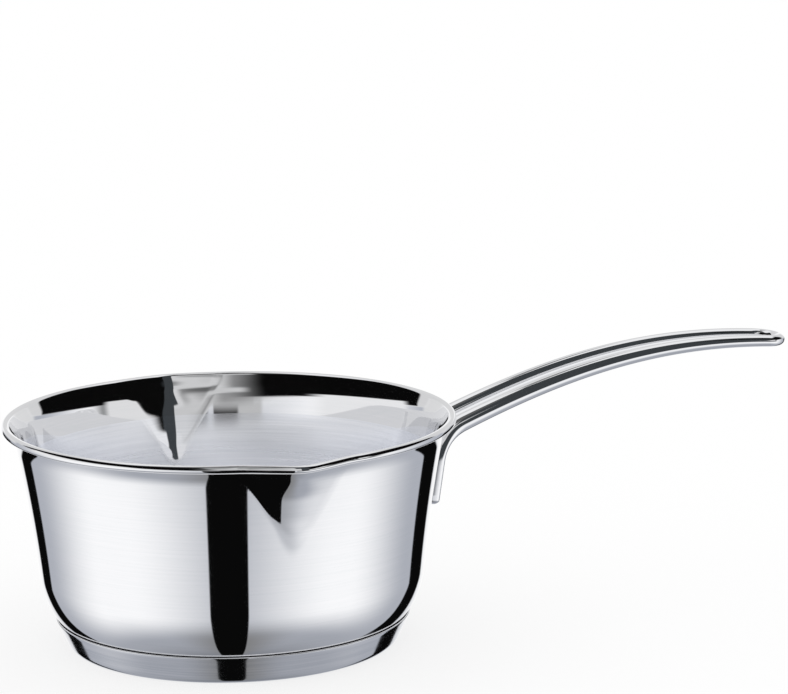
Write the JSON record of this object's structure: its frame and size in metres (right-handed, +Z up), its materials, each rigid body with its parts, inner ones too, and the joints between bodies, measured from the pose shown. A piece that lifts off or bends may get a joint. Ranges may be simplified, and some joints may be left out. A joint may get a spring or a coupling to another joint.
{
  "type": "saucepan",
  "caption": "Polished steel milk saucepan with a flared lip, opposed pouring spouts, a capsule base and a long hairpin handle bent from bar.",
  "frame": {"origin": "centre of the base's underside, on the surface that the pan stands on", "axes": "+X along the handle, spouts facing -Y and +Y, +Z up through the open mouth"},
  "size_m": [0.3205, 0.1812, 0.1035],
  "materials": {
    "pan_steel": "mirror-polished stainless steel",
    "capsule_steel": "polished stainless steel, turned underside",
    "core_aluminium": "mill finish, hidden inside the base",
    "handle_steel": "mirror-polished stainless steel bar"
  },
  "bodies": {
    "root": {"pan_body": "pan_steel", "base_capsule": "capsule_steel", "heat_spreader_disc": "core_aluminium", "handle_bar": "handle_steel"}
  },
  "joints": []
}
